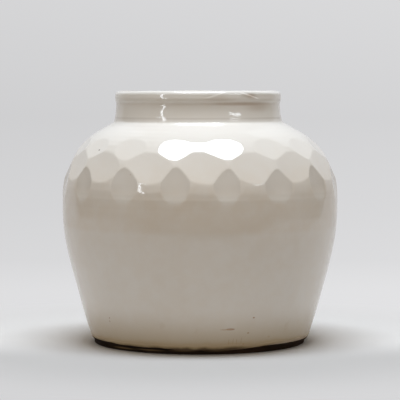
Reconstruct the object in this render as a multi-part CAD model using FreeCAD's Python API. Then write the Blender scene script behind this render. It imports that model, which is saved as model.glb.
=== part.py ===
# A wide-mouthed shouldered jar of white glazed stoneware, in millimetres and degrees.
# The jar stands on the plane z = 0, its axis is the Z axis, and the origin is the middle of the foot.
# It is thrown in sections that are luted together with slip, cut with three rows of facets round
# the shoulder, and glazed inside and out, so each section, each slip seam and each coat is a piece.
# Outlines are drawn in the XZ plane, where x is the radius, and are spun about Z.

import os
from math import asin, cos, hypot, radians, sin, sqrt, tan

import FreeCAD
import Part

# Coats and seams
glaze_thickness = 0.6
slip_thickness = 0.8

# Body, measured on the outer glaze
belly_radius = 150.0
belly_height = 160.5
shoulder_cone_run = 17.5
shoulder_slope = 30.0
flank_arc_radius = 326.0
flank_lean = 16.0
clay_wall = 8.0

# Neck and rim, measured on the outer glaze
neck_radius = 89.5
neck_height = 32.3
neck_root_flare = 2.5
neck_waist_below_band = 4.0
neck_clay_wall = 6.4
rim_band_height = 11.0
rim_band_proud = 0.8
rim_band_chamfer = 0.8

# Foot and floor
glaze_line_height = 4.0
heel_arc_radius = 10.0
heel_turn = 50.0
foot_inset = 1.6
foot_ring_height = 7.2
foot_ring_width = 15.5
foot_edge_chamfer = 1.0
floor_thickness = 9.0
floor_corner_radius = 18.0

# Keys and laps of the luted seams
waist_seam_below_belly = 4.0
waist_key_width = 4.8
waist_key_depth = 2.6
foot_key_width = 6.0
foot_key_depth = 1.8
neck_seam_above_root = 0.6
neck_lap_depth = 3.2
rim_scarf_rise = 2.6

# Facets, three staggered rows: the tilt of each row's cuts above the horizontal, and their depth
facets_per_row = 16
upper_row_tilt = 42.3
upper_row_depth = 1.4
middle_row_tilt = 26.7
middle_row_depth = 2.1
lower_row_tilt = 12.3
lower_row_depth = 1.2
cutter_reach_share = 1.2
cutter_height_share = 2.5

# How far tools and zones run past what they cut
overrun = 6.0

# Levels and radii that follow
slope = radians(shoulder_slope)
lean = radians(flank_lean)
wall_with_glaze = clay_wall + 2 * glaze_thickness
neck_root_radius = neck_radius + neck_root_flare
bore_radius = neck_radius - neck_clay_wall - 2 * glaze_thickness
shoulder_arc_radius = (belly_radius - neck_root_radius - shoulder_cone_run) / (1 - sin(slope))
neck_root_height = belly_height + shoulder_arc_radius * cos(slope) + shoulder_cone_run * tan(slope)
rim_height = neck_root_height + neck_height
band_low_height = rim_height - rim_band_height
neck_waist_height = band_low_height - neck_waist_below_band
neck_rise = neck_waist_height - neck_root_height
neck_arc_radius = (neck_rise ** 2 + neck_root_flare ** 2) / (2 * neck_root_flare)
neck_arc_centre = (neck_radius + neck_arc_radius, neck_waist_height)
lip_outer_radius = neck_radius + rim_band_proud
lip_arc_radius = (lip_outer_radius - bore_radius) / 2
lip_centre = (bore_radius + lip_arc_radius, rim_height - lip_arc_radius)
shoulder_centre = (belly_radius - shoulder_arc_radius, belly_height)
flank_centre = (belly_radius - flank_arc_radius, belly_height)
recess_height = foot_ring_height + slip_thickness
floor_height = recess_height + floor_thickness + glaze_thickness
zone_reach = belly_radius + overrun


def point(place):
    """A vector in the XZ plane from a pair of radius and height."""
    return FreeCAD.Vector(place[0], 0, place[1])


def on_arc(centre, radius, angle):
    """The place on an arc at an angle in radians, counted from the outward direction."""
    return (centre[0] + radius * cos(angle), centre[1] + radius * sin(angle))


def line(start, end):
    return Part.LineSegment(point(start), point(end)).toShape()


def arc(centre, radius, first, last):
    """An arc from one angle to another, in radians."""
    middle = on_arc(centre, radius, (first + last) / 2)
    start = on_arc(centre, radius, first)
    end = on_arc(centre, radius, last)
    return Part.Arc(point(start), point(middle), point(end)).toShape()


def polyline(places):
    return [line(start, end) for start, end in zip(places, places[1:])]


def spin(edges):
    """The solid of revolution of a closed outline."""
    wire = Part.Wire(Part.__sortEdges__(edges))
    return Part.Face(wire).revolve(FreeCAD.Vector(0, 0, 0), FreeCAD.Vector(0, 0, 1), 360)


def flank_place(depth, height):
    """A place on the straight flank, a depth inside the outer glaze."""
    top = on_arc(flank_centre, flank_arc_radius - depth, -lean)
    return (top[0] - (top[1] - height) * tan(lean), height)


def cone_start(depth):
    """Where the shoulder arc passes into the straight slope, a depth inside the outer glaze."""
    return on_arc(shoulder_centre, shoulder_arc_radius - depth, radians(90) - slope)


def neck_root(depth):
    """Where the slope meets the neck's hollow curve, a depth inside the outer glaze."""
    start = cone_start(depth)
    away = (start[0] - neck_arc_centre[0], start[1] - neck_arc_centre[1])
    along = sin(slope) * away[1] - cos(slope) * away[0]
    reach = sqrt(along ** 2 - hypot(*away) ** 2 + (neck_arc_radius + depth) ** 2)
    run = reach - along
    return (start[0] - run * cos(slope), start[1] + run * sin(slope))


def neck_angle(depth, height):
    """The angle on the neck's hollow curve at a height."""
    return radians(180) - asin((height - neck_arc_centre[1]) / (neck_arc_radius + depth))


def heel_centre():
    height = glaze_line_height + heel_arc_radius * sin(radians(heel_turn))
    return flank_place(heel_arc_radius, height)


def heel_end(depth):
    return on_arc(heel_centre(), heel_arc_radius - depth, -radians(heel_turn))


def outer_run(depth):
    """The outside from the glaze's lower edge up to the crown of the lip."""
    heel_radius = heel_arc_radius - depth
    neck_radius_here = neck_arc_radius + depth
    root = neck_root(depth)
    band_foot = on_arc(neck_arc_centre, neck_radius_here, neck_angle(depth, band_low_height))
    band_low = (lip_outer_radius - depth, band_low_height + rim_band_chamfer)
    return [
        arc(heel_centre(), heel_radius, -radians(heel_turn), -lean),
        line(on_arc(heel_centre(), heel_radius, -lean), on_arc(flank_centre, flank_arc_radius - depth, -lean)),
        arc(flank_centre, flank_arc_radius - depth, -lean, 0),
        arc(shoulder_centre, shoulder_arc_radius - depth, 0, radians(90) - slope),
        line(cone_start(depth), root),
        arc(neck_arc_centre, neck_radius_here, neck_angle(depth, root[1]), neck_angle(depth, band_low_height)),
        line(band_foot, band_low),
        line(band_low, (band_low[0], lip_centre[1])),
        arc(lip_centre, lip_arc_radius - depth, 0, radians(90)),
    ]


def floor_corner_centre():
    height = floor_height + floor_corner_radius
    return flank_place(wall_with_glaze + floor_corner_radius, height)


def inner_run(cover):
    """The inside from the crown of the lip down to the middle of the floor, a cover behind the inner glaze."""
    depth = wall_with_glaze - cover
    bore = bore_radius + cover
    corner_radius = floor_corner_radius + cover
    slope_start = cone_start(depth)
    bore_end = (bore, slope_start[1] + (slope_start[0] - bore) * tan(slope))
    floor_start = on_arc(floor_corner_centre(), corner_radius, -radians(90))
    return [
        arc(lip_centre, lip_arc_radius - cover, radians(90), radians(180)),
        line((bore, lip_centre[1]), bore_end),
        line(bore_end, slope_start),
        arc(shoulder_centre, shoulder_arc_radius - depth, radians(90) - slope, 0),
        arc(flank_centre, flank_arc_radius - depth, 0, -lean),
        line(on_arc(flank_centre, flank_arc_radius - depth, -lean),
             on_arc(floor_corner_centre(), corner_radius, -lean)),
        arc(floor_corner_centre(), corner_radius, -lean, -radians(90)),
        line(floor_start, (0, floor_start[1])),
    ]


def clay_shell():
    """All the clay in one, before it is divided at the seams and cut with facets."""
    ring_top = heel_end(glaze_thickness)
    foot_radius = ring_top[0] - foot_inset
    ring_bore = foot_radius - foot_ring_width
    underside = polyline([
        (0, floor_height - glaze_thickness),
        (0, recess_height),
        (ring_bore, recess_height),
        (ring_bore, foot_edge_chamfer),
        (ring_bore + foot_edge_chamfer, 0),
        (foot_radius - foot_edge_chamfer, 0),
        (foot_radius, foot_edge_chamfer),
        ring_top,
    ])
    return spin(outer_run(glaze_thickness) + inner_run(glaze_thickness) + underside)


def coat_blank():
    """The outside of the outer coat, filled inwards as far as the crown of the lip."""
    edge = heel_end(glaze_thickness)
    closing = polyline([
        (lip_centre[0], rim_height),
        (lip_centre[0], edge[1]),
        edge,
        heel_end(0),
    ])
    return spin(outer_run(0) + closing)


def clay_core():
    """The outside of the clay under the outer coat, filled inwards to the axis and run on downwards."""
    edge = heel_end(glaze_thickness)
    closing = polyline([
        (lip_centre[0], rim_height - glaze_thickness),
        (0, rim_height - glaze_thickness),
        (0, edge[1] - overrun),
        (edge[0], edge[1] - overrun),
        edge,
    ])
    return spin(outer_run(glaze_thickness) + closing)


def facet_cutter(tilt, cut_depth, turn, depth):
    """A block whose inner face is the plane of one facet, a depth inside the outer glaze."""
    angle = radians(tilt)
    ring_radius = shoulder_centre[0] + shoulder_arc_radius * cos(angle)
    half_width = cutter_reach_share * sqrt(2 * cut_depth * ring_radius / cos(angle))
    half_height = cutter_reach_share * sqrt(2 * cut_depth * shoulder_arc_radius)
    foot = on_arc(shoulder_centre, shoulder_arc_radius - cut_depth - depth, angle)
    corner = FreeCAD.Vector(-half_height, -half_width, 0)
    block = Part.makeBox(2 * half_height, 2 * half_width, cutter_height_share * cut_depth, corner)
    upright = FreeCAD.Rotation(FreeCAD.Vector(0, 1, 0), 90 - tilt)
    round_axis = FreeCAD.Rotation(FreeCAD.Vector(0, 0, 1), turn)
    block.Placement = FreeCAD.Placement(round_axis.multVec(point(foot)), round_axis * upright)
    return block


def facet_cutters(depth):
    """All the cutters: the upper and lower rows stand between the facets of the middle row."""
    pitch = 360 / facets_per_row
    rows = [
        (upper_row_tilt, upper_row_depth, pitch / 2),
        (middle_row_tilt, middle_row_depth, 0),
        (lower_row_tilt, lower_row_depth, pitch / 2),
    ]
    cutters = []
    for tilt, cut_depth, first_turn in rows:
        for count in range(facets_per_row):
            cutters.append(facet_cutter(tilt, cut_depth, first_turn + count * pitch, depth))
    return cutters


def keyed_seam(height, key_radius, key_width, key_depth):
    """A level seam with a V-shaped key that points down, from the axis outwards."""
    return [
        (0, height),
        (key_radius - key_width / 2, height),
        (key_radius, height - key_depth),
        (key_radius + key_width / 2, height),
        (zone_reach, height),
    ]


def raised(seam):
    """The upper side of a seam's slip."""
    return [(radius, height + slip_thickness) for radius, height in seam]


def lap_seam(inset):
    """The neck's stepped seam: the collar reaches down inside the shoulder's opening."""
    step_radius = lip_centre[0] - inset
    high = neck_root_height + neck_seam_above_root + inset
    low = high - neck_lap_depth
    return [(0, low), (step_radius, low), (step_radius, high), (zone_reach, high)]


def scarf_seam():
    """The rim's slanting seam, which leaves the wall under the band and rises inwards."""
    outside = neck_radius - glaze_thickness
    inside = bore_radius + glaze_thickness
    high = band_low_height + rim_scarf_rise
    return [(0, high), (inside, high), (outside, band_low_height), (zone_reach, band_low_height)]


def level(height):
    return [(0, height), (zone_reach, height)]


def zone(low_seam, high_seam):
    """The round block between two seams."""
    outline = low_seam + high_seam[::-1]
    return spin(polyline(outline + outline[:1]))


def clay_pieces():
    """The thrown sections and the slip between them, from the foot up."""
    ring_middle = heel_end(glaze_thickness)[0] - foot_inset - foot_ring_width / 2
    wall_middle = belly_radius - wall_with_glaze / 2
    waist_height = belly_height - waist_seam_below_belly
    foot_seam = keyed_seam(foot_ring_height, ring_middle, foot_key_width, foot_key_depth)
    waist_seam = keyed_seam(waist_height, wall_middle, waist_key_width, waist_key_depth)
    bounds = [
        ("foot_ring", level(-overrun)),
        ("foot_slip", foot_seam),
        ("lower_bowl", raised(foot_seam)),
        ("waist_slip", waist_seam),
        ("upper_bowl", raised(waist_seam)),
        ("neck_slip", lap_seam(0)),
        ("neck_collar", lap_seam(slip_thickness)),
        ("rim_slip", scarf_seam()),
        ("rim_band", raised(scarf_seam())),
        ("above", level(rim_height + overrun)),
    ]
    clay = clay_shell()
    pieces = {}
    for (name, low_seam), (_, high_seam) in zip(bounds, bounds[1:]):
        pieces[name] = clay.common(zone(low_seam, high_seam))
    pieces["upper_bowl"] = pieces["upper_bowl"].cut(facet_cutters(glaze_thickness))
    return pieces


def outer_glaze():
    """The outer coat, from its edge above the foot up to the crown of the lip, over the facets."""
    coat = coat_blank().cut(facet_cutters(0))
    clay = clay_core().cut(facet_cutters(glaze_thickness))
    return coat.cut(clay)


def inner_glaze():
    """The inner coat, from the crown of the lip down over the floor."""
    crown = [(lip_centre[0], rim_height), (lip_centre[0], rim_height - glaze_thickness)]
    middle = [(0, floor_height), (0, floor_height - glaze_thickness)]
    return spin(inner_run(0) + inner_run(glaze_thickness) + [line(*crown), line(*middle)])


def jar():
    pieces = clay_pieces()
    pieces["outer_glaze"] = outer_glaze()
    pieces["inner_glaze"] = inner_glaze()
    return pieces


os.makedirs("parts", exist_ok=True)
for node, shape in jar().items():
    shape.exportStep(f"parts/{node}.step")
    box = shape.optimalBoundingBox()
    print(f"{node}: {len(shape.Solids)} solid, valid {shape.isValid()}, volume {shape.Volume:.0f}, "
          f"height {box.ZMin:.2f} to {box.ZMax:.2f}, radius {box.XMax:.2f}")
print(f"rim height {rim_height:.2f}, bore radius {bore_radius:.2f}, neck root height {neck_root_height:.2f}")
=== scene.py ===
# A wide-mouthed shouldered jar of white glazed stoneware, dressed for rendering.
# Sizes of the jar are in millimetres and degrees and become metres where a mesh is made.
# A place on the jar is a turn, in degrees to the right of the front, with a radius and a height.
from functools import reduce
from math import atan2, ceil, cos, hypot, pi, radians, sin, sqrt, tan

import bpy
import numpy as np
from mathutils import Matrix, Vector

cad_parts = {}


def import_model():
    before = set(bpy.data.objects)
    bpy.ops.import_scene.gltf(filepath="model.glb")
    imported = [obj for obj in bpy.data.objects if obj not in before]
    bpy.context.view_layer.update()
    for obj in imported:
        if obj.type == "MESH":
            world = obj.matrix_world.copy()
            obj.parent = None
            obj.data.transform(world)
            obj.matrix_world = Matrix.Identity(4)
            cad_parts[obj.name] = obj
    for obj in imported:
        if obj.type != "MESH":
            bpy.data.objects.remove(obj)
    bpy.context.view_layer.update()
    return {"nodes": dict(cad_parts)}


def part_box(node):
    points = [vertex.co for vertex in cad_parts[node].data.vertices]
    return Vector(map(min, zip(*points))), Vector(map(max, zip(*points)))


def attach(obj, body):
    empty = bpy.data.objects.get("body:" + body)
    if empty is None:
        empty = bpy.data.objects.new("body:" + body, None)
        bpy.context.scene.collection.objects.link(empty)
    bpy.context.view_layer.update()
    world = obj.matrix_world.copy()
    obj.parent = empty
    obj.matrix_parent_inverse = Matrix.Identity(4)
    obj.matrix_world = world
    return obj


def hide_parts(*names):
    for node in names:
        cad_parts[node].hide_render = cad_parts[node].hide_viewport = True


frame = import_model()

metre = 1000.0

# Radius and levels read from the frame
belly_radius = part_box("outer_glaze")[1].x * metre
rim_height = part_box("outer_glaze")[1].z * metre
glaze_line_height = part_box("outer_glaze")[0].z * metre
foot_seam_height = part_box("foot_ring")[1].z * metre
recess_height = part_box("foot_slip")[1].z * metre
waist_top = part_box("waist_slip")[1].z * metre
band_low_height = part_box("rim_slip")[0].z * metre

# Coats and seams
glaze_thickness = 0.6
slip_thickness = 0.8
clay_wall = 8.0

# Body, measured on the outer glaze
belly_height = 160.5
shoulder_arc_radius = 81.0
shoulder_slope = 30.0
flank_arc_radius = 326.0
flank_lean = 16.0
heel_arc_radius = 10.0
heel_turn = 50.0

# Neck, band and lip
neck_radius = 89.5
neck_height = 32.3
neck_root_flare = 2.5
neck_waist_below_band = 4.0
neck_clay_wall = 6.4
root_fillet = 4.0
band_proud = 0.8
neck_lift = 1.0
neck_lean = 2.2
neck_lean_low = 190.0
neck_lean_high = 255.0

# Foot, floor and seams. A key has a width and a depth.
foot_inset = 1.6
foot_ring_width = 15.5
foot_edge_chamfer = 1.0
foot_spread = 0.4
foot_shift = 0.7
floor_thickness = 9.0
floor_corner_radius = 18.0
waist_key = (4.8, 2.6)
foot_key = (6.0, 1.8)
neck_lap_depth = 3.2
neck_seam_above_root = 0.6
rim_scarf_rise = 2.6

# Facets: tilt of the row, half width, half height, depth, and the row's turn in shares of the pitch.
# The skew share makes a facet deeper towards its top. The ridge softness rounds the ridges of a row.
facets_per_row = 16
facet_pitch = 360 / facets_per_row
upper_row = {"tilt": 41.4, "half_width": 19.5, "half_height": 14.4, "depth": 1.35, "turn_share": 0.5,
             "skew_share": 0.0, "ridge_softness": 0.1}
middle_row = {"tilt": 25.9, "half_width": 27.0, "half_height": 17.8, "depth": 2.1, "turn_share": 0.0,
              "skew_share": 0.0, "ridge_softness": 1.0}
lower_row = {"tilt": 11.7, "half_width": 15.5, "half_height": 20.6, "depth": 1.6, "turn_share": 0.5,
             "skew_share": 0.7, "ridge_softness": 0.1}
facet_edge_softness = 0.10
# How much deeper than the others a lower facet cuts where its painted light and shade are full. An
# attribute keeps them.
lower_facet_edge = 0.2
lower_facet_share = "lower_facet_share"

# How the facets seen in front stray from the even row: count, turn, slant, half width and rise
upper_strays = {-3: (-1.0, 0.0, 19.0, 0.0), -2: (-0.2, 0.0, 19.5, 0.0), -1: (0.0, 0.05, 17.6, 0.0),
                0: (0.2, 0.06, 20.4, 0.9), 1: (0.7, 0.0, 19.5, 0.0), 2: (0.8, 0.0, 19.0, 0.0)}
middle_strays = {-2: (-2.2, -0.2, 27.0, 0.0), -1: (0.2, -0.2, 27.5, 0.0), 0: (1.6, -0.16, 26.0, 0.0),
                 1: (1.5, 0.02, 27.5, 0.0), 2: (-1.1, 0.16, 26.5, 0.0)}
lower_strays = {-3: (0.2, 0.0, 15.0, 0.0), -2: (1.7, 0.05, 16.5, 0.0), -1: (1.4, 0.0, 15.5, 0.0),
                0: (-0.4, -0.06, 14.5, 0.0), 1: (-0.2, 0.03, 18.0, 0.0), 2: (0.8, -0.1, 15.0, 0.0)}
# How far the other facets stray at most, in the same order, and the beat of each
stray_reach = (1.1, 0.12, 1.2, 0.6)
stray_beats = (5, 3, 7, 4)

# Marks of the throwing and of the hand. A bump has a size, a middle and a width.
# A wave has a size, waves in a turn, a lag, and a lag for each millimetre up.
flank_fullness = [(0.95, 122.0, 28.0), (0.55, 36.0, 20.0)]
waist_lines = [(-0.07, 164.5, 1.6), (-0.06, 159.0, 1.6), (-0.03, 153.5, 1.6)]
wobble_waves = [(0.09, 2, 35, 0), (0.054, 3, 0, 3), (0.0315, 5, 110, -2)]
outer_ridge_depth = 0.022
outer_ridge_pitch = 7.5
outer_ridge_swell = [(0.5, 3, 0, 1)]
ridge_fade_depth = 0.3
inner_ridge_depth = 0.28
inner_ridge_pitch = 9.5
inner_ridge_start = 12.0
inner_ridge_floor_radius = 30.0
rim_waves = [(0.25, 5, 265, 0), (0.1, 1, 0, 0)]
glaze_edge_rise = 1.3
glaze_edge_waves = [(0.77, 2, 270, 0), (0.22, 7, 80, 0), (0.165, 17, 5, 0)]
glaze_edge_lifts = [(1.5, 54.0, 24.0), (0.9, -24.0, 9.0)]
glaze_roll = [(0.22, 1.2, 1.3)]
foot_waves = [(0.12, 4, 0, 0), (0.08, 11, 40, 0), (0.05, 29, 10, 0)]

# Columns of points round each piece, and the least angle of a sharp edge
shoulder_columns = 768
outer_columns = 384
inner_columns = 192
foot_columns = 288
sharp_edge_angle = 38.0


def smooth_step(value, low, high):
    """Nothing below the low value, one above the high value, and a smooth rise between."""
    share = np.clip((value - low) / (high - low), 0, 1)
    return share * share * (3 - 2 * share)


def bump(value, middle, width):
    return np.exp(-((value - middle) / width) ** 2)


def smooth_max(first, second, softness):
    gap = np.maximum(softness - np.abs(first - second), 0) / softness
    return np.maximum(first, second) + gap * gap * softness / 4


def wrapped(turn):
    return (turn + 180) % 360 - 180


def sine(turn, waves, lag):
    """A wave that goes whole times round the jar."""
    return np.sin(np.radians(waves * turn + lag))


def bump_sum(value, rows):
    return sum(size * bump(value, middle, width) for size, middle, width in rows)


def wave_sum(turn, rows, height=0.0):
    return sum(size * sine(turn, count, lag + lag_up * height) for size, count, lag, lag_up in rows)


def throwing_ridges(turn, way, pitch):
    """The spiral that fingers leave, between minus one and one."""
    return np.sin(2 * pi * way / pitch + np.radians(turn)[:, None])


slope = radians(shoulder_slope)
lean = radians(flank_lean)
wall_with_glaze = clay_wall + 2 * glaze_thickness
bore_radius = neck_radius - neck_clay_wall - 2 * glaze_thickness
neck_root_height = rim_height - neck_height
neck_waist_height = band_low_height - neck_waist_below_band
neck_rise = neck_waist_height - neck_root_height
neck_arc_radius = (neck_rise ** 2 + neck_root_flare ** 2) / (2 * neck_root_flare)
neck_arc_centre = (neck_radius + neck_arc_radius, neck_waist_height)
lip_arc_radius = (neck_radius + band_proud - bore_radius) / 2
lip_centre = (bore_radius + lip_arc_radius, rim_height - lip_arc_radius)
shoulder_centre = (belly_radius - shoulder_arc_radius, belly_height)
flank_centre = (belly_radius - flank_arc_radius, belly_height)
floor_height = recess_height + floor_thickness + glaze_thickness


def on_arc(centre, radius, angle):
    return (centre[0] + radius * cos(angle), centre[1] + radius * sin(angle))


def arc(centre, radius, first, last, step):
    """Places along an arc, about a step apart."""
    count = ceil(abs(last - first) * radius / step) + 1
    angles = np.linspace(first, last, count)
    return np.stack([centre[0] + radius * np.cos(angles), centre[1] + radius * np.sin(angles)], 1)


def straight(start, end, step):
    count = ceil(hypot(end[0] - start[0], end[1] - start[1]) / step) + 1
    return np.linspace(start, end, count)


def joined(*runs):
    """Runs end to end, with each shared place kept once."""
    return np.concatenate([runs[0]] + [run[1:] for run in runs[1:]])


def flank_place(depth, height):
    top = on_arc(flank_centre, flank_arc_radius - depth, -lean)
    return (top[0] - (top[1] - height) * tan(lean), height)


def cone_start(depth):
    return on_arc(shoulder_centre, shoulder_arc_radius - depth, radians(90) - slope)


def neck_root(depth):
    """Where the straight slope meets the neck's hollow curve, a depth inside the outer glaze."""
    start = cone_start(depth)
    away = (start[0] - neck_arc_centre[0], start[1] - neck_arc_centre[1])
    along = sin(slope) * away[1] - cos(slope) * away[0]
    run = sqrt(along ** 2 - hypot(*away) ** 2 + (neck_arc_radius + depth) ** 2) - along
    return (start[0] - run * cos(slope), start[1] + run * sin(slope))


heel_centre = flank_place(heel_arc_radius, glaze_line_height + heel_arc_radius * sin(radians(heel_turn)))
fillet_centre = neck_root(-root_fillet)
fillet_top = atan2(fillet_centre[1] - neck_arc_centre[1], fillet_centre[0] - neck_arc_centre[0]) % (2 * pi)
fillet_end_height = fillet_centre[1] + root_fillet * sin(fillet_top)

# The band under the lip steps out between two heights from its foot. Its bumps, from the same foot,
# are a hollow, a groove, a ridge and a bulge.
band_step = (-2.3, 1.3)
band_bumps = [(-0.14, -3.0, 1.4), (-0.09, 1.4, 0.6), (0.08, 0.1, 0.6), (0.24, 3.2, 2.5)]


def neck_outline(step):
    """The hollow neck and its band, from the root's fillet up to where the lip rounds over."""
    height = straight((0, fillet_end_height), (0, lip_centre[1]), step)[:, 1]
    reach = np.minimum(height, neck_waist_height) - neck_arc_centre[1]
    radius = neck_arc_centre[0] - np.sqrt(neck_arc_radius ** 2 - reach ** 2)
    above = height - band_low_height
    radius = radius + band_proud * smooth_step(above, *band_step) + bump_sum(above, band_bumps)
    return np.stack([radius, height], 1)


# How fine each stretch of an outline is
heel_step = 0.5
flank_step = 3.4
shoulder_step = 1.15
fillet_step = 0.6
neck_step = 0.45
lip_step = 0.6
foot_step = 2.0
foot_arc_step = 0.33


def outer_outline():
    """The outside from the glaze's lower edge up to the crown of the lip."""
    heel_top = on_arc(heel_centre, heel_arc_radius, -lean)
    flank_low = on_arc(flank_centre, flank_arc_radius, -lean)
    fillet_low = on_arc(fillet_centre, root_fillet, radians(270) - slope)
    return joined(
        arc(heel_centre, heel_arc_radius, -radians(heel_turn), -lean, heel_step),
        straight(heel_top, flank_low, flank_step),
        arc(flank_centre, flank_arc_radius, -lean, 0, flank_step),
        arc(shoulder_centre, shoulder_arc_radius, 0, radians(90) - slope, shoulder_step),
        straight(cone_start(0), fillet_low, shoulder_step),
        arc(fillet_centre, root_fillet, radians(270) - slope, fillet_top, fillet_step),
        neck_outline(neck_step),
        arc(lip_centre, lip_arc_radius, 0, radians(90), lip_step),
    )


def inner_outline(cover):
    """The inside from the lip's crown down to the middle of the floor, a cover behind the inner glaze."""
    depth = wall_with_glaze - cover
    bore = bore_radius + cover
    corner_height = floor_height + floor_corner_radius
    corner_centre = flank_place(wall_with_glaze + floor_corner_radius, corner_height)
    corner_radius = floor_corner_radius + cover
    slope_start = cone_start(depth)
    bore_end = (bore, slope_start[1] + (slope_start[0] - bore) * tan(slope))
    flank_end = on_arc(flank_centre, flank_arc_radius - depth, -lean)
    corner_start = on_arc(corner_centre, corner_radius, -lean)
    floor_start = on_arc(corner_centre, corner_radius, -radians(90))
    coarse = 2 * fillet_step
    return joined(
        arc(lip_centre, lip_arc_radius - cover, radians(90), radians(180), lip_step),
        straight((bore, lip_centre[1]), bore_end, coarse),
        straight(bore_end, slope_start, coarse),
        arc(shoulder_centre, shoulder_arc_radius - depth, radians(90) - slope, 0, coarse),
        arc(flank_centre, flank_arc_radius - depth, 0, -lean, coarse),
        straight(flank_end, corner_start, coarse),
        arc(corner_centre, corner_radius, -lean, -radians(90), coarse),
        straight(floor_start, (0, floor_start[1]), coarse),
    )


def tangents(outline):
    """Unit vectors along an outline."""
    along = np.gradient(outline, axis=0)
    return along / np.linalg.norm(along, axis=1)[:, None]


def ways(outline):
    """How far along its outline each place lies."""
    return np.concatenate([[0], np.cumsum(np.linalg.norm(np.diff(outline, axis=0), axis=1))])


outer = outer_outline()
outer_along = tangents(outer)
outer_out = np.stack([outer_along[:, 1], -outer_along[:, 0]], 1)
outer_way = ways(outer)
outer_way = outer_way - np.interp(belly_height, outer[:, 1], outer_way)


def astray(row, count):
    """How a facet that isn't seen in front strays: turn, slant, half width and rise."""
    turn, slant, wider, rise_up = (
        reach * sin(beat * count + row["tilt"]) for reach, beat in zip(stray_reach, stray_beats))
    return turn, slant, row["half_width"] + wider, rise_up


def facet_row(row, strays):
    """The facets of a row, each a little astray, as on a hand-cut jar."""
    facets = []
    for count in range(-facets_per_row // 2, facets_per_row // 2):
        turn, slant, half_width, rise_up = strays.get(count) or astray(row, count)
        facets.append({
            **row,
            "turn": (count + row["turn_share"]) * facet_pitch + turn,
            "way": shoulder_arc_radius * radians(row["tilt"]) + rise_up,
            "slant": slant,
            "half_width": half_width,
        })
    return facets


facet_rows = ((upper_row, upper_strays), (middle_row, middle_strays), (lower_row, lower_strays))


def facet_cut(facet, turn, radius, way):
    """How deep one facet cuts, below nothing where it lies outside the even outline."""
    up = way - facet["way"]
    across = radius * np.radians(wrapped(turn[:, None] - facet["turn"])) - facet["slant"] * up
    up_share = up / facet["half_height"]
    inside = 1 - (across / facet["half_width"]) ** 2 - up_share ** 2
    return facet["depth"] * inside * (1 + facet["skew_share"] * np.clip(up_share, -1, 1))


def row_cuts(turn, radius, way):
    """How deep each row of facets cuts, for turns down and outline places across."""
    for row, strays in facet_rows:
        cuts = [facet_cut(facet, turn, radius, way) for facet in facet_row(row, strays)]
        yield reduce(lambda first, second: smooth_max(first, second, row["ridge_softness"]), cuts)


def facet_cuts(turn, radius, way):
    """How deep the facets of all rows cut."""
    total = np.zeros((len(turn), len(way)))
    for row_cut in row_cuts(turn, radius, way):
        total = smooth_max(total, row_cut, facet_edge_softness)
    # The softened edges lift uncut places a little, which is taken off again
    return total - total[:, :1].min()


def in_lower_facets(turn, height):
    """One inside the facets of the lower row and nothing outside them."""
    radius = np.interp(height, outer[:, 1], outer[:, 0])
    way = np.interp(height, outer[:, 1], outer_way)
    *others, lower_cut = row_cuts(turn, radius, way)
    return smooth_step(lower_cut - np.maximum(reduce(np.maximum, others), 0), 0, lower_facet_edge)


# Two slanting laps on the band, left by the coil's end: turn and height at both ends, step and reach
laps = [
    {"start": (31.0, 270.9), "end": (43.5, 265.6), "step": 1.0, "reach": 2.0},
    {"start": (6.0, 265.8), "end": (17.0, 271.2), "step": 0.35, "reach": 2.6},
]
lap_line_softness = 0.35
lap_end_shares = (-0.25, 0.1)


def lap_steps(turn, height):
    """The laps: the band stands proud on their lower side and falls back on their upper side."""
    total = np.zeros((len(turn), len(height)))
    for lap in laps:
        across = np.radians(wrapped(turn[:, None] - lap["start"][0])) * neck_radius
        up = height - lap["start"][1]
        run = np.array([radians(lap["end"][0] - lap["start"][0]) * neck_radius,
                        lap["end"][1] - lap["start"][1]])
        length = np.linalg.norm(run)
        share = (across * run[0] + up * run[1]) / length ** 2
        side = (across * -run[1] + up * run[0]) / length
        ends = smooth_step(share, *lap_end_shares) * smooth_step(1 - share, *lap_end_shares)
        fade = np.exp(-(side / lap["reach"]) ** 2)
        total = total - lap["step"] * ends * fade * np.tanh(side / lap_line_softness) / 2
    return total


def outer_relief(turn, radius, way, height):
    """How far the real outside stands proud of the even outline, as hands and wheel left it."""
    column = turn[:, None]
    body = smooth_step(height, glaze_line_height, glaze_line_height + heel_arc_radius)
    cuts = facet_cuts(turn, radius, way)
    uncut = 1 - smooth_step(cuts, 0, ridge_fade_depth)
    swell = 1 + wave_sum(column, outer_ridge_swell, height)
    ridges = outer_ridge_depth * throwing_ridges(turn, way, outer_ridge_pitch) * swell * uncut
    thrown = (wave_sum(column, wobble_waves, height) + ridges) * body
    return bump_sum(height, flank_fullness + waist_lines) + thrown - cuts + lap_steps(turn, height)


def placed(turn, radius, height):
    """Points of the leaning, gently waving jar, in metres."""
    angle = np.radians(turn)[:, None]
    shift = -neck_lean * smooth_step(height, neck_lean_low, neck_lean_high)
    lift = wave_sum(turn[:, None], rim_waves) * smooth_step(height, band_low_height, rim_height)
    lift = lift + neck_lift * smooth_step(height, neck_root_height, band_low_height)
    points = np.stack([radius * np.sin(angle) + shift, -radius * np.cos(angle), height + lift], 2)
    return points / metre


def turns_of(columns):
    return np.arange(columns) * 360 / columns - 180


def stretch_heights(outline, low, high, every=1):
    """The heights of an outline between two heights, thinned, with both ends added."""
    inside = np.flatnonzero((outline[:, 1] > low) & (outline[:, 1] < high))
    return np.concatenate([[low], outline[inside[::every], 1], [high]])


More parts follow.
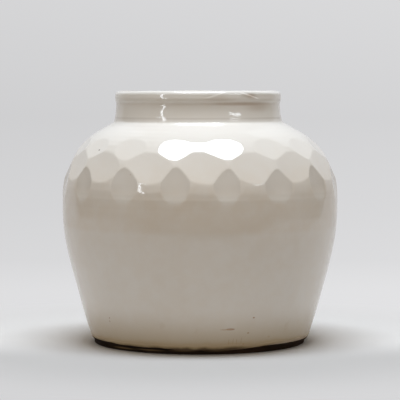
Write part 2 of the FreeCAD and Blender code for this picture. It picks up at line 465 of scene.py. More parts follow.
def outer_rows(turn, low, high, depth, every=1):
    """The real outside between two heights, a depth under the glaze, as radii and heights."""
    heights = stretch_heights(outer, low, high, every)
    radius = np.interp(heights, outer[:, 1], outer[:, 0])
    way = np.interp(heights, outer[:, 1], outer_way)
    out = np.stack([np.interp(heights, outer[:, 1], outer_out[:, axis]) for axis in (0, 1)], 1)
    relief = outer_relief(turn, radius, way, heights) - depth
    return radius + relief * out[:, 0], heights + relief * out[:, 1]


def inner_rows(turn, low, high, cover, every):
    """The inside between two heights, from the high one down, a cover behind the inner glaze."""
    outline = inner_outline(cover)[::-1]
    heights = stretch_heights(outline, low, high, every)[::-1]
    radius = np.interp(heights, outline[:, 1], outline[:, 0])
    way = np.interp(heights, outline[:, 1], ways(outline))
    away = smooth_step(-heights, -lip_centre[1], -neck_waist_height)
    ridges = inner_ridge_depth * throwing_ridges(turn, way, inner_ridge_pitch) * away
    return radius + ridges, heights + 0 * turn[:, None]


def seam_rows(turn, places):
    """The places of a seam, the same at every turn."""
    places = np.array(places)
    return places[:, 0] + 0 * turn[:, None], places[:, 1] + 0 * turn[:, None]


def loop(turn, *parts):
    """The points of a section, part after part."""
    radius = np.concatenate([part[0] for part in parts], 1)
    height = np.concatenate([part[1] for part in parts], 1)
    return placed(turn, radius, height)


def ring_faces(columns, rows):
    """Faces between neighbouring columns of closed sections."""
    column, row = np.meshgrid(np.arange(columns), np.arange(rows), indexing="ij")
    right, above = (column + 1) % columns, (row + 1) % rows
    corners = [column * rows + row, right * rows + row, right * rows + above, column * rows + above]
    return np.stack(corners, 2).reshape(-1, 4)


def in_scene(name, data):
    made = bpy.data.objects.new(name, data)
    bpy.context.scene.collection.objects.link(made)
    return made


def smooth_mesh(name, points, faces, material):
    mesh = bpy.data.meshes.new(name)
    mesh.from_pydata(points, [], faces)
    mesh.update()
    mesh.shade_smooth()
    mesh.materials.append(material)
    return in_scene(name, mesh)


def piece(name, points, faces, material, slot, *nodes):
    """A mesh that stands for nodes of the frame, smooth but for its sharp edges."""
    made = smooth_mesh(name, points.reshape(-1, 3).tolist(), faces, material)
    made.data.set_sharp_from_angle(angle=radians(sharp_edge_angle))
    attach(made, "root")
    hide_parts(*nodes)
    return made


def ring_piece(name, points, material, slot, *nodes):
    """A piece that goes all the way round, from closed sections."""
    faces = ring_faces(*points.shape[:2])
    return piece(name, points, faces.tolist(), material, slot, *nodes)


def bowl_piece(name, points, material, slot, *nodes):
    """A piece whose sections run from one place on the axis to another."""
    columns, rows = points.shape[0], points.shape[1] - 2
    faces = ring_faces(columns, rows).reshape(columns, rows, 4)[:, :-1].reshape(-1, 4).tolist()
    low_pole, high_pole = columns * rows, columns * rows + 1
    for column in range(columns):
        right = (column + 1) % columns
        faces.append((low_pole, right * rows, column * rows))
        faces.append((high_pole, column * rows + rows - 1, right * rows + rows - 1))
    every_point = np.concatenate([points[:, 1:-1].reshape(-1, 3), [points[0, 0], points[0, -1]]])
    piece(name, every_point, faces, material, slot, *nodes)


# Materials


def add(tree, kind, inputs=None, **settings):
    """A node. An input is a plain value or the output of another node."""
    made = tree.nodes.new(kind)
    for name, value in settings.items():
        setattr(made, name, value)
    for name, value in (inputs or {}).items():
        if isinstance(value, bpy.types.NodeSocket):
            tree.links.new(value, made.inputs[name])
        else:
            made.inputs[name].default_value = value
    return made


def maths(tree, operation, *values):
    return add(tree, "ShaderNodeMath", dict(enumerate(values)), operation=operation).outputs[0]


def blend(tree, share, first, second):
    """A colour between two, by a share."""
    mix = add(tree, "ShaderNodeMix", {0: share, 6: first, 7: second}, data_type="RGBA")
    return mix.outputs[2]


def rise(tree, value, low, high):
    """Nothing at the low value, one at the high value, smooth between."""
    inputs = {"Value": value, "From Min": low, "From Max": high}
    return add(tree, "ShaderNodeMapRange", inputs, interpolation_type="SMOOTHSTEP").outputs[0]


def stretch(tree, height, span):
    """Nothing at the first height of a span and one at its second."""
    return rise(tree, height, span[0] / metre, span[1] / metre)


def noise(tree, place, scale, detail):
    inputs = {"Vector": place, "Scale": scale, "Detail": detail}
    return add(tree, "ShaderNodeTexNoise", inputs).outputs[0]


def patches(tree, place, scale, detail, low, high):
    """Clouded patches, from nothing where the noise is low to one where it is high."""
    return rise(tree, noise(tree, place, scale, detail), low, high)


def tinted(tree, body, tint, strength, *shares):
    """A body colour with a tint over it, as strong as its shares together let it be."""
    for share in shares:
        strength = maths(tree, "MULTIPLY", share, strength)
    return blend(tree, strength, body, tint)


def from_axis(tree, place):
    """How far a place is from the jar's axis."""
    inputs = {0: place, 1: (1.0, 1.0, 0.0)}
    flat = add(tree, "ShaderNodeVectorMath", inputs, operation="MULTIPLY").outputs[0]
    return add(tree, "ShaderNodeVectorMath", {0: flat}, operation="LENGTH").outputs["Value"]


def colour(red, green, blue):
    return (red, green, blue, 1.0)


def new_material(name):
    """A material with its tree, its shader, its place on the object and its height."""
    material = bpy.data.materials.new(name)
    material.use_nodes = True
    tree = material.node_tree
    shader = tree.nodes["Principled BSDF"]
    place = add(tree, "ShaderNodeTexCoord").outputs["Object"]
    height = add(tree, "ShaderNodeSeparateXYZ", {0: place}).outputs["Z"]
    return material, tree, shader, place, height


def surface_point(turn, height, radius):
    """A place on the jar, in metres."""
    angle = radians(turn)
    return (radius * sin(angle) / metre, -radius * cos(angle) / metre, height / metre)


def outer_point(turn, height):
    return surface_point(turn, height, float(np.interp(height, outer[:, 1], outer[:, 0])))


iron = colour(0.06, 0.045, 0.035)
rust = colour(0.42, 0.25, 0.14)
pale_rust = colour(0.55, 0.40, 0.26)
tea = colour(0.42, 0.29, 0.19)
foot_tan = colour(0.20, 0.14, 0.07)

# Oval marks: turn, height, half size along the turn and upwards, colour and strength
# Brown stains on the neck; under the band and in the laps' recesses they also stand as painted shade.
neck_stains_and_painted_shade = [
    (30.0, 260.7, 26.0, 1.7, tea, 0.46),
    (-12.0, 261.0, 62.0, 3.0, tea, 0.05),
    (44.0, 257.5, 14.0, 4.5, tea, 0.30),
    (37.0, 268.8, 5.5, 2.2, tea, 0.45),
    (12.0, 266.0, 14.0, 2.6, tea, 0.22),
    (-150.0, 261.0, 40.0, 1.5, tea, 0.35),
]
kiln_marks = [
    (-54.5, 212.0, 1.3, 0.7, iron, 0.85),
    (-48.5, 35.0, 0.8, 0.8, rust, 0.8),
    (-48.8, 31.4, 0.7, 0.9, rust, 0.75),
    (25.7, 39.0, 1.2, 0.8, rust, 0.8),
    (14.6, 27.4, 4.6, 1.1, rust, 0.75),
    (12.6, 27.2, 6.5, 0.8, pale_rust, 0.6),
    (23.8, 22.7, 1.3, 0.7, rust, 0.75),
    (14.2, 14.0, 0.4, 5.0, rust, 0.40),
    (16.4, 14.5, 0.4, 5.5, rust, 0.35),
    (18.2, 14.0, 0.4, 4.5, rust, 0.40),
    (20.6, 15.0, 0.5, 4.0, rust, 0.30),
    (22.0, 10.5, 1.1, 0.9, rust, 0.55),
    (36.0, 17.0, 1.6, 1.0, pale_rust, 0.5),
    (-30.0, 188.0, 0.6, 0.6, rust, 0.5),
    (128.0, 92.0, 1.0, 0.8, iron, 0.7),
    (171.0, 140.0, 0.9, 1.2, rust, 0.6),
    (-121.0, 64.0, 2.0, 0.8, pale_rust, 0.6),
    (-160.0, 205.0, 1.0, 0.8, iron, 0.7),
]
foot_streaks = [
    (-44.0, 2.9, 13.0, 0.7, foot_tan, 0.8),
    (-27.0, 3.4, 14.0, 0.7, foot_tan, 0.7),
    (-9.0, 4.0, 12.0, 0.9, foot_tan, 0.6),
    (9.0, 4.2, 12.0, 0.8, foot_tan, 0.6),
    (140.0, 3.0, 20.0, 0.9, foot_tan, 0.6),
]

# Shares of a mark's half size: where its edge starts and is full, and how deep it reaches
crisp_edge_shares = (1.25, 0.75)
stain_and_shade_edge_shares = (1.9, 0.1)
streak_edge_shares = (1.6, 0.4)
mark_depth_share = 4

# Dots: cells to the metre, radius, and the share of the cells that stay empty
glaze_specks = (38.0, 0.45, 0.80)
glaze_pinholes = (160.0, 0.30, 0.90)
inner_specks = (60.0, 0.50, 0.80)
clay_flecks = (420.0, 0.50, 0.82)
least_dot_share = 0.4
speck_strength = 0.55
fleck_strength = 0.6

# Patches: scale and detail of the noise, and the values where they start and are full
glaze_clouds = (14.0, 3.0, 0.35, 0.65)
glaze_mottle = (70.0, 2.0, 0.30, 0.75)
low_stains = (55.0, 4.0, 0.60, 0.78)
clay_clouds = (24.0, 4.0, 0.30, 0.70)
ragged_grain = (60.0, 3.0)
gloss_grain = (30.0, 3.0)

# Fine relief: scale and detail of the noise, and depth
outer_grains = [(42.0, 2.0, 0.10), (260.0, 2.0, 0.012)]
inner_grains = [(50.0, 2.0, 0.08), (300.0, 2.0, 0.01)]
clay_grains = [(900.0, 3.0, 0.12)]
pinhole_depth = 0.05
turning_depth = 0.05
fleck_depth = 0.1

# Roughness: how far it wanders and the least of it
outer_roughness = (0.06, 0.045)
inner_roughness = (0.10, 0.08)
toasted_roughness = 0.3
clay_roughness = 0.88
glaze_ior = 1.52

# Even colours of the glaze, and how strongly and where its white covers the warm ones. The white that
# grows up the shoulder and fills the lip's crown is painted light from above, with less of it on the neck.
outer_warm = colour(0.765, 0.690, 0.600)
outer_pale = colour(0.79, 0.725, 0.645)
outer_white = colour(0.840, 0.828, 0.802)
inner_warm = colour(0.76, 0.69, 0.60)
inner_pale = colour(0.80, 0.74, 0.66)
inner_white = colour(0.830, 0.795, 0.745)
mottle_strength = 0.25
top_painted_light_strength = 0.85
neck_painted_light_loss = 0.25
top_painted_light_span = (150.0, 235.0)
neck_span = (238.5, 246.5)
lip_painted_light_span = (269.5, 272.5)

# Tones over the outer glaze: colour, strength, and the heights where a tone starts and is full
# A thin dark line just above the neck's root: painted shade of the crease where the neck meets the
# shoulder.
root_crease_painted_shade = (colour(0.450, 0.400, 0.340), 0.30, (243.6, 244.6))
root_crease_shade_end_span = (246.6, 245.6)
# Whiter below a step on the lower flank: a painted reflection of the bright floor.
lower_flank_painted_reflection = (outer_white, 0.24, (131.0, 125.0))
# In the lower facets, lighter low down and darker high up: painted light and shade of their hollows.
facet_foot_painted_light = (colour(0.825, 0.795, 0.745), 0.60, (171.5, 164.0))
facet_top_painted_shade = (colour(0.600, 0.560, 0.510), 0.50, (164.0, 177.0))
# Darker and warmer towards the foot.
stained_tone = (pale_rust, 0.35, (60.0, 8.0))
foot_darkening_tone = (colour(0.52, 0.42, 0.28), 0.88, (52.0, 3.0))
toasted_span = (16.5, 6.5)
toasted_tone = (colour(0.50, 0.37, 0.20), 0.80, toasted_span)
# The near-black lowest band of the glaze is partly its burnt edge and partly painted shade where the jar
# meets the floor.
burnt_edge_and_painted_shade = (colour(0.10, 0.06, 0.03), 0.90, (9.2, 5.2))
edge_raggedness = 6.0


def mark_share(tree, place, turn, height, half_width, half_height, edge_shares):
    """How far a place lies inside an oval mark on the jar."""
    inputs = {
        "Vector": place,
        "Location": outer_point(turn, height),
        "Rotation": (0, 0, radians(turn)),
        "Scale": (half_width / metre, mark_depth_share * half_width / metre, half_height / metre),
    }
    local = add(tree, "ShaderNodeMapping", inputs, vector_type="TEXTURE").outputs[0]
    distance = add(tree, "ShaderNodeVectorMath", {0: local}, operation="LENGTH").outputs["Value"]
    return rise(tree, distance, *edge_shares)


def marked(tree, place, body, marks, edge_shares):
    """A body colour with oval marks over it."""
    for turn, height, half_width, half_height, tint, strength in marks:
        share = mark_share(tree, place, turn, height, half_width, half_height, edge_shares)
        body = tinted(tree, body, tint, strength, share)
    return body


def toned(tree, body, height, tone, *shares):
    """A body colour with a tone over its heights, where other shares let it show."""
    tint, strength, span = tone
    return tinted(tree, body, tint, strength, stretch(tree, height, span), *shares)


def speckle(tree, place, scale, radius, rarity):
    """Sparse round dots: one in some cells of a cell pattern, each of its own size."""
    cells = add(tree, "ShaderNodeTexVoronoi", {"Vector": place, "Scale": scale})
    chance = add(tree, "ShaderNodeSeparateColor", {0: cells.outputs["Color"]})
    chosen = maths(tree, "GREATER_THAN", chance.outputs[0], rarity)
    grown = maths(tree, "ADD", chance.outputs[1], least_dot_share)
    size = maths(tree, "MULTIPLY", grown, radius * scale / metre)
    near = maths(tree, "LESS_THAN", cells.outputs["Distance"], size)
    return maths(tree, "MULTIPLY", chosen, near)


def bumped(tree, shader, *layers):
    """Layers of relief, each a height share and its depth in millimetres, one on the next."""
    normal = None
    for share, depth in layers:
        inputs = {"Height": share, "Distance": depth / metre}
        if normal is not None:
            inputs["Normal"] = normal
        normal = add(tree, "ShaderNodeBump", inputs).outputs[0]
    tree.links.new(normal, shader.inputs["Normal"])


def grains(tree, place, rows):
    """Layers of fine relief from noise."""
    return [(noise(tree, place, scale, detail), depth) for scale, detail, depth in rows]


def uneven_roughness(tree, place, spread, least):
    return maths(tree, "MULTIPLY_ADD", noise(tree, place, *gloss_grain), spread, least)


def glaze_body(tree, place, height, warm, pale, white):
    """The glaze's even colours, whiter up the shoulder and on the lip's crown as painted light from above,
    with less of that on the neck.
    """
    body = blend(tree, patches(tree, place, *glaze_clouds), warm, pale)
    body = tinted(tree, body, white, mottle_strength, patches(tree, place, *glaze_mottle))
    # Painted light: the white grows with height, is weaker on the neck and full on the lip's crown.
    on_neck = stretch(tree, height, neck_span)
    painted_light_share = maths(tree, "MULTIPLY_ADD", on_neck, -neck_painted_light_loss, top_painted_light_strength)
    body = tinted(tree, body, white, painted_light_share, stretch(tree, height, top_painted_light_span))
    return blend(tree, stretch(tree, height, lip_painted_light_span), body, white)


def outer_glaze_material():
    """Glossy milk-white glaze, warmer and darker low down, with kiln marks, a burnt lower edge darkened
    further as painted shade, painted shade at the neck's root, a painted reflection on the lower flank and
    painted light and shade in the lower facets.
    """
    material, tree, shader, place, height = new_material("outer_glaze_white")
    body = glaze_body(tree, place, height, outer_warm, outer_pale, outer_white)
    body = marked(tree, place, body, neck_stains_and_painted_shade, stain_and_shade_edge_shares)
    body = toned(tree, body, height, root_crease_painted_shade, stretch(tree, height, root_crease_shade_end_span))
    body = toned(tree, body, height, lower_flank_painted_reflection)
    in_facet = add(tree, "ShaderNodeAttribute", attribute_name=lower_facet_share).outputs["Fac"]
    body = toned(tree, body, height, facet_foot_painted_light, in_facet)
    body = toned(tree, body, height, facet_top_painted_shade, in_facet)
    body = tinted(tree, body, rust, speck_strength, speckle(tree, place, *glaze_specks))
    body = toned(tree, body, height, stained_tone, patches(tree, place, *low_stains))
    body = toned(tree, body, height, foot_darkening_tone)
    body = marked(tree, place, body, kiln_marks, crisp_edge_shares)
    ragged = maths(tree, "SUBTRACT", noise(tree, place, *ragged_grain), 0.5)
    edge_height = maths(tree, "MULTIPLY_ADD", ragged, edge_raggedness / metre, height)
    body = toned(tree, body, edge_height, toasted_tone)
    body = toned(tree, body, edge_height, burnt_edge_and_painted_shade)
    tree.links.new(body, shader.inputs["Base Color"])
    toasted = stretch(tree, edge_height, toasted_span)
    even_roughness = uneven_roughness(tree, place, *outer_roughness)
    roughness = maths(tree, "MULTIPLY_ADD", toasted, toasted_roughness, even_roughness)
    tree.links.new(roughness, shader.inputs["Roughness"])
    shader.inputs["IOR"].default_value = glaze_ior
    pinholes = maths(tree, "SUBTRACT", 1.0, speckle(tree, place, *glaze_pinholes))
    bumped(tree, shader, *grains(tree, place, outer_grains), (pinholes, pinhole_depth))
    return material


def inner_glaze_material():
    """The same glaze inside, a little warmer and duller."""
    material, tree, shader, place, height = new_material("inner_glaze_white")
    body = glaze_body(tree, place, height, inner_warm, inner_pale, inner_white)
    body = tinted(tree, body, rust, speck_strength, speckle(tree, place, *inner_specks))
    tree.links.new(body, shader.inputs["Base Color"])
    tree.links.new(uneven_roughness(tree, place, *inner_roughness), shader.inputs["Roughness"])
    shader.inputs["IOR"].default_value = glaze_ior
    bumped(tree, shader, *grains(tree, place, inner_grains))
    return material


def clay_material(name, light, dark, grit, turning_pitch, streaks=(), gloss=0.5):
    """Bare fired stoneware: clouded colour, pitted grit and the fine rings of turning."""
    material, tree, shader, place, height = new_material(name)
    body = blend(tree, patches(tree, place, *clay_clouds), dark, light)
    fleck = speckle(tree, place, *clay_flecks)
    body = tinted(tree, body, grit, fleck_strength, fleck)
    body = marked(tree, place, body, streaks, streak_edge_shares)
    tree.links.new(body, shader.inputs["Base Color"])
    shader.inputs["Specular IOR Level"].default_value = gloss
    shader.inputs["Roughness"].default_value = clay_roughness
    across = maths(tree, "ADD", from_axis(tree, place), height)
    rings = maths(tree, "SINE", maths(tree, "MULTIPLY", across, 2 * pi * metre / turning_pitch))
    bumped(tree, shader, (rings, turning_depth), *grains(tree, place, clay_grains), (fleck, -fleck_depth))
    return material


outer_glaze = outer_glaze_material()
inner_glaze = inner_glaze_material()
# The bare foot's clay is made near black: painted shade of its contact with the floor, over brown clay and
# tan streaks.
bare_foot = clay_material("bare_foot_brown_and_painted_shade", light=colour(0.034, 0.018, 0.010),
                          dark=colour(0.014, 0.008, 0.005), grit=colour(0.008, 0.006, 0.004),
                          turning_pitch=1.3, streaks=foot_streaks, gloss=0.15)
clay = clay_material("fired_clay", light=colour(0.56, 0.46, 0.35), dark=colour(0.44, 0.34, 0.24),
                     grit=colour(0.20, 0.12, 0.07), turning_pitch=2.2)
slip = clay_material("fired_slip", light=colour(0.50, 0.42, 0.32), dark=colour(0.40, 0.32, 0.23),
                     grit=colour(0.25, 0.17, 0.11), turning_pitch=1.7)

# The outer glaze is in three pieces that meet in smooth places. Hidden backs keep one place in so many.
flank_top = 152.0
slope_join_below_root = 3.4
slope_join = neck_root_height - slope_join_below_root
back_every = 6
inside_back_every = 3


def coat_back(turn, low, high):
    """The hidden back of the outer glaze, from the high end down."""
    radius, height = outer_rows(turn, low, high, glaze_thickness, back_every)
    return radius[:, ::-1], height[:, ::-1]


def shoulder_coat():
    """The faceted stretch, which also keeps where the lower facets lie."""
    turn = turns_of(shoulder_columns)
    face = outer_rows(turn, flank_top, slope_join, 0)
    back = coat_back(turn, flank_top, slope_join)
    made = ring_piece("shoulder_coat", loop(turn, face, back), outer_glaze, "outer_glaze", "outer_glaze")
    share = in_lower_facets(turn, stretch_heights(outer, flank_top, slope_join))
    kept = made.data.attributes.new(lower_facet_share, "FLOAT", "POINT")
    kept.data.foreach_set("value", np.concatenate([share, np.zeros_like(back[0])], 1).ravel())


def edge_shift(wander, height):
    """The wander of the glaze's lower edge, which dies out up the heel."""
    return wander * smooth_step(-height, -glaze_line_height - heel_arc_radius, -glaze_line_height)


def flank_coat():
    """The lowest stretch, whose lower edge wanders and ends in a soft roll of glaze."""
    turn = turns_of(outer_columns)
    column = turn[:, None]
    wander = wave_sum(column, glaze_edge_waves) + glaze_edge_rise + bump_sum(column, glaze_edge_lifts)
    radius, height = outer_rows(turn, glaze_line_height, flank_top, 0)
    roll = bump_sum(height - glaze_line_height, glaze_roll)
    face = (radius + roll, height + edge_shift(wander, height))
    back_radius, back_height = coat_back(turn, glaze_line_height, flank_top)
    back = (back_radius, back_height + edge_shift(wander, back_height))
    ring_piece("flank_coat", loop(turn, face, back), outer_glaze, "outer_glaze", "outer_glaze")


def neck_coat():
    """The neck, the band and the outer half of the lip."""
    turn = turns_of(outer_columns)
    face = outer_rows(turn, slope_join, rim_height, 0)
    crown = arc(lip_centre, lip_arc_radius - glaze_thickness, radians(90), 0, 2 * lip_step)
    section = loop(turn, face, seam_rows(turn, crown), coat_back(turn, slope_join, lip_centre[1]))
    ring_piece("neck_coat", section, outer_glaze, "outer_glaze", "outer_glaze")


def inside_coat():
    """The inner glaze from the crown of the lip down over the floor."""
    turn = turns_of(inner_columns)
    back_rows = seam_rows(turn, inner_outline(glaze_thickness)[::-inside_back_every])
    face = inner_outline(0)
    radius, height = face[:, 0], face[:, 1]
    way = ways(face)
    along = tangents(face)
    lip_way = way[height >= lip_centre[1]][-1]
    ease = smooth_step(way, lip_way, lip_way + inner_ridge_start)
    ease = ease * smooth_step(radius, 0, inner_ridge_floor_radius)
    ridges = inner_ridge_depth * throwing_ridges(turn, way, inner_ridge_pitch) * ease
    face_rows = (radius + ridges * along[:, 1], height - ridges * along[:, 0])
    bowl_piece("inside_coat", loop(turn, back_rows, face_rows), inner_glaze, "inner_glaze", "inner_glaze")


def key_seam(middle, height, key):
    """A seam with a V key, from the outside in."""
    width, depth = key
    return [(middle + width / 2, height), (middle, height - depth), (middle - width / 2, height)]


def lap_seam(inset):
    """The stepped seam under the neck, from the outside in."""
    step_radius = lip_centre[0] - inset
    high = neck_root_height + neck_seam_above_root + inset
    return [(step_radius, high), (step_radius, high - neck_lap_depth)]


def clay_ring(name, outside_span, inside_span, top_seam, low_seam, material, slot, node):
    """A thrown section: outer face up, top seam inwards, inner face down, low seam outwards."""
    turn = turns_of(inner_columns)
    parts = [outer_rows(turn, *outside_span, glaze_thickness, back_every)]
    if len(top_seam):
        parts.append(seam_rows(turn, top_seam))
    parts.append(inner_rows(turn, *inside_span, glaze_thickness, back_every))
    if len(low_seam):
        parts.append(seam_rows(turn, low_seam[::-1]))
    ring_piece(name, loop(turn, *parts), material, slot, node)


def thrown_pieces():
    """The clay and slip from the waist up, which follow the leaning neck and the facets."""
    wall_middle = belly_radius - wall_with_glaze / 2
    waist_seam = key_seam(wall_middle, waist_top, waist_key)
    high = neck_root_height + neck_seam_above_root
    low = high - neck_lap_depth
    scarf_low = band_low_height
    scarf_high = scarf_low + rim_scarf_rise
    clay_ring("upper_bowl_clay", (waist_top, high), (waist_top, low), lap_seam(0), waist_seam,
              clay, "clay", "upper_bowl")
    clay_ring("neck_slip_ring", (high, high + slip_thickness), (low, low + slip_thickness),
              lap_seam(slip_thickness), lap_seam(0), slip, "slip", "neck_slip")
    clay_ring("neck_collar_clay", (high + slip_thickness, scarf_low), (low + slip_thickness, scarf_high),
              [], lap_seam(slip_thickness), clay, "clay", "neck_collar")
    clay_ring("rim_slip_ring", (scarf_low, scarf_low + slip_thickness),
              (scarf_high, scarf_high + slip_thickness), [], [], slip, "slip", "rim_slip")
    crown = arc(lip_centre, lip_arc_radius - glaze_thickness, 0, radians(180), 2 * lip_step)
    clay_ring("rim_band_clay", (scarf_low + slip_thickness, lip_centre[1]),
              (scarf_high + slip_thickness, lip_centre[1]), crown, [], clay, "clay", "rim_band")


def foot_ring():
    """The bare ring under the base, worn and a little uneven, with soft edges."""
    turn = turns_of(foot_columns)
    column = turn[:, None]
    edge = on_arc(heel_centre, heel_arc_radius - glaze_thickness, -radians(heel_turn))
    outside = edge[0] - foot_inset
    bore = outside - foot_ring_width
    chamfer = foot_edge_chamfer
    seam = key_seam((outside + bore) / 2, foot_seam_height, foot_key) + [(bore, foot_seam_height)]
    low = joined(
        straight((bore, foot_seam_height), (bore, chamfer), foot_step),
        arc((bore + chamfer, chamfer), chamfer, radians(180), radians(270), foot_arc_step),
        straight((bore + chamfer, 0), (outside - chamfer, 0), foot_step),
        arc((outside - chamfer, chamfer), chamfer, -radians(90), 0, foot_arc_step),
        straight((outside, chamfer), (edge[0] - glaze_thickness, edge[1]), foot_step / 2),
    )
    radius, height = seam_rows(turn, low[1:])
    outer_side = smooth_step(radius, bore + chamfer, outside - chamfer)
    spread = outer_side * (foot_spread - foot_shift * sine(column, 1, 0))
    uneven = wave_sum(column, foot_waves) * smooth_step(height, 0, chamfer)
    radius = radius + (spread + uneven) * smooth_step(-height, -edge[1], -chamfer)
    upper = outer_rows(turn, edge[1], foot_seam_height, glaze_thickness)
    section = loop(turn, upper, seam_rows(turn, seam), (radius, height))
    ring_piece("foot_ring_clay", section, bare_foot, "bare_foot", "foot_ring")


flank_coat()
shoulder_coat()
neck_coat()
inside_coat()
thrown_pieces()
foot_ring()

for node, material in (("lower_bowl", clay), ("waist_slip", slip), ("foot_slip", slip)):
    solid = frame["nodes"][node]
    solid.data.materials.clear()
    solid.data.materials.append(material)

# The stage, the lamps and the camera, in metres. A pale paper sweep is one-sided, so that other views
# see past it. A page tone has a share of the page's height and a grey.
sweep_front = -0.52
sweep_bend = 0.50
sweep_back = 1.05
sweep_top = 1.9
sweep_half_width = 1.38
# The paper's colour is darker in front and lighter behind, and its page glows in greys by height, dimmer
# in front and brighter to the right: painted light and shade on one even paper.
floor_front = colour(0.56, 0.56, 0.565)
floor_back = colour(0.79, 0.79, 0.795)
floor_change = (-0.15, 0.02)
page_tones = [(0.0, 0.75), (0.07, 0.70), (0.23, 0.672), (0.55, 0.637), (1.0, 0.68)]
page_blue = 1.015
page_top = 0.42
page_start = (0.21, 0.42)
page_front = (0.25, -0.30)
page_front_dimming = 0.11
page_slant = 0.07
paper_roughness = 0.9
sweep_step = 0.03

# The room is lighter high up and in front
world_tone = colour(0.64, 0.64, 0.65)
front_low_tone = colour(0.25, 0.21, 0.16)
front_high_tone = colour(0.580, 0.512, 0.432)
side_tone = colour(0.250, 0.215, 0.175)
front_way = (-0.25, -0.97, 0.0)
front_rise = (0.05, 0.30)
front_facing = (0.1, 0.9)


def page_ramp(tree, height):
    """The page's greys from its foot to its top."""
    ramp = add(tree, "ShaderNodeValToRGB", {"Fac": maths(tree, "DIVIDE", height, page_top)})
    stops = ramp.color_ramp.elements
    for share, tone in page_tones[1:-1]:
        stops.new(share)
    for stop, (share, tone) in zip(stops, page_tones):
        stop.color = colour(tone, tone, tone * page_blue)
    return ramp.outputs["Color"]


def sweep_material():
    """Paper that takes shadows near the jar, darker in front and lighter behind as painted shade and
    light, and further away glows as a page of painted light: greys by height, dimmer in front and brighter
    to the right.
    """
    material, tree, shader, place, height = new_material("paper")
    shader.inputs["Roughness"].default_value = paper_roughness
    axes = add(tree, "ShaderNodeSeparateXYZ", {0: place}).outputs
    near = rise(tree, axes["Y"], *floor_change)
    tree.links.new(blend(tree, near, floor_front, floor_back), shader.inputs["Base Color"])
    slant = maths(tree, "MULTIPLY_ADD", axes["X"], page_slant, 1.0)
    in_front = rise(tree, axes["Y"], *page_front)
    strength = maths(tree, "MULTIPLY_ADD", in_front, -page_front_dimming, slant)
    inputs = {"Color": page_ramp(tree, height), "Strength": strength}
    page = add(tree, "ShaderNodeEmission", inputs).outputs[0]
    rays = add(tree, "ShaderNodeLightPath").outputs
    mirrored = maths(tree, "MAXIMUM", rays["Is Glossy Ray"], rays["Is Transmission Ray"])
    seen = maths(tree, "MAXIMUM", rays["Is Camera Ray"], mirrored)
    far = maths(tree, "MULTIPLY", rise(tree, from_axis(tree, place), *page_start), seen)
    lit = add(tree, "ShaderNodeMixShader", {0: far, 1: shader.outputs[0], 2: page}).outputs[0]
    behind = add(tree, "ShaderNodeNewGeometry").outputs["Backfacing"]
    away = maths(tree, "MULTIPLY", behind, rays["Is Camera Ray"])
    clear = add(tree, "ShaderNodeBsdfTransparent").outputs[0]
    shown = add(tree, "ShaderNodeMixShader", {0: away, 1: lit, 2: clear}).outputs[0]
    tree.links.new(shown, tree.nodes["Material Output"].inputs["Surface"])
    return material


def paper_sweep():
    """A floor that bends up behind the jar."""
    bend_radius = sweep_back - sweep_bend
    bend = arc((sweep_bend, bend_radius), bend_radius, -radians(90), 0, sweep_step)
    line = np.concatenate([[(sweep_front, 0.0)], bend, [(sweep_back, sweep_top)]])
    points = [(side * sweep_half_width, y, z) for y, z in line for side in (-1, 1)]
    faces = [(2 * row, 2 * row + 1, 2 * row + 3, 2 * row + 2) for row in range(len(line) - 1)]
    made = smooth_mesh("paper_sweep", points, faces, sweep_material())


def world():
    """A warm room, dim low down, that the camera sees as the same pale page."""
    made = bpy.data.worlds.new("room")
    made.use_nodes = True
    tree = made.node_tree
    shader = tree.nodes["Background"]
    seen = add(tree, "ShaderNodeLightPath").outputs["Is Camera Ray"]
    way = add(tree, "ShaderNodeTexCoord").outputs["Generated"]
    upwards = add(tree, "ShaderNodeSeparateXYZ", {0: way}).outputs["Z"]
    front = blend(tree, rise(tree, upwards, *front_rise), front_low_tone, front_high_tone)
    dot = add(tree, "ShaderNodeVectorMath", {0: way, 1: front_way}, operation="DOT_PRODUCT")
    room = blend(tree, rise(tree, dot.outputs["Value"], *front_facing), side_tone, front)
    tree.links.new(blend(tree, seen, room, world_tone), shader.inputs["Color"])
    bpy.context.scene.world = made


def lamp(name, place, right, up, width, height, radiance, tint):
    """A rectangular lamp from its middle and two directions, shining against their cross product."""
    data = bpy.data.lights.new(name, "AREA")
    data.shape = "RECTANGLE"
    data.size = width
    data.size_y = height
    data.energy = radiance * width * height * pi
    data.color = tint
    made = in_scene(name, data)
    right, up = Vector(right).normalized(), Vector(up).normalized()
    back = right.cross(up)
    made.matrix_world = Matrix.Translation(place) @ Matrix((right, up, back)).transposed().to_4x4()
    made.visible_camera = False
    return made


top_light = {
    "place": (0.03, -0.23, 1.55),
    "width": 0.90,
    "height": 0.39,
    "radiance": 16.7,
    "tint": (0.93, 1.0, 1.07),
}

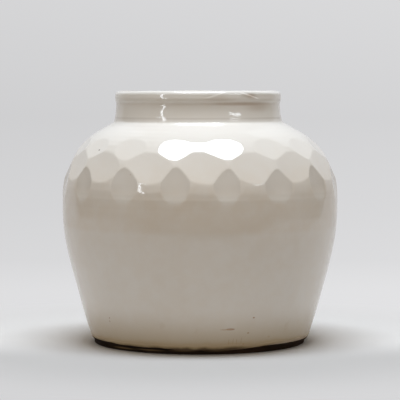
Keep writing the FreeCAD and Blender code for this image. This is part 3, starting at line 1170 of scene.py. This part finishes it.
# Strips of two lamps, in directions from the neck: azimuth and elevation at both ends, width
left_strips = [
    (-52.0, 9.0, -51.0, 24.5, 0.030),
    (-52.0, 10.0, -45.0, -1.0, 0.030),
    (-51.0, 16.5, -45.5, 24.5, 0.022),
    (-54.0, 16.2, -61.0, 16.8, 0.022),
]
right_strips = [
    (44.5, 12.8, 53.0, 14.6, 0.030),
    (53.0, 14.6, 62.0, 12.8, 0.030),
    (45.5, 20.9, 62.5, 20.4, 0.020),
    (45.5, 25.6, 62.5, 24.8, 0.018),
]
strip_distance = 0.62
strip_eye_turn = 25.0
strip_eye_height = 250.0
strip_tint = (0.92, 0.98, 1.06)
left_radiance = 10.0
right_radiance = 8.0


def direction(azimuth, elevation):
    """A unit vector to the right of the front by an azimuth, and up by an elevation."""
    turn, rise_angle = radians(azimuth), radians(elevation)
    return Vector((sin(turn) * cos(rise_angle), -cos(turn) * cos(rise_angle), sin(rise_angle)))


def strips(name, rows, eye_turn, radiance):
    """Small lamps that show in the neck and on the facets' edges as crisp glints."""
    eye = Vector(surface_point(eye_turn, strip_eye_height, neck_radius))
    for count, (first_turn, first_rise, last_turn, last_rise, width) in enumerate(rows):
        start = eye + strip_distance * direction(first_turn, first_rise)
        end = eye + strip_distance * direction(last_turn, last_rise)
        middle = (start + end) / 2
        length = (end - start).length
        right = (end - start).normalized()
        up = (middle - eye).normalized().cross(right)
        strip = lamp(f"{name}_{count}", middle, right, up, length, width, radiance, strip_tint)
        strip.visible_diffuse = False


# The camera, fitted to the photograph
camera_distance = 2.15
camera_height = 0.278
camera_pitch = 3.279
focal_length_pixels = 1967.0
picture_width_pixels = 400


def camera():
    data = bpy.data.cameras.new("camera")
    data.lens = data.sensor_width * focal_length_pixels / picture_width_pixels
    made = in_scene("camera", data)
    made.location = (0, -camera_distance, camera_height)
    made.rotation_euler = (radians(90 - camera_pitch), 0, 0)
    bpy.context.scene.camera = made


paper_sweep()
world()
lamp("top_light", right=(1, 0, 0), up=(0, 1, 0), **top_light)
strips("left_lamp", left_strips, -strip_eye_turn, left_radiance)
strips("right_lamp", right_strips, strip_eye_turn, right_radiance)
camera()
bpy.context.scene.view_settings.view_transform = "Standard"
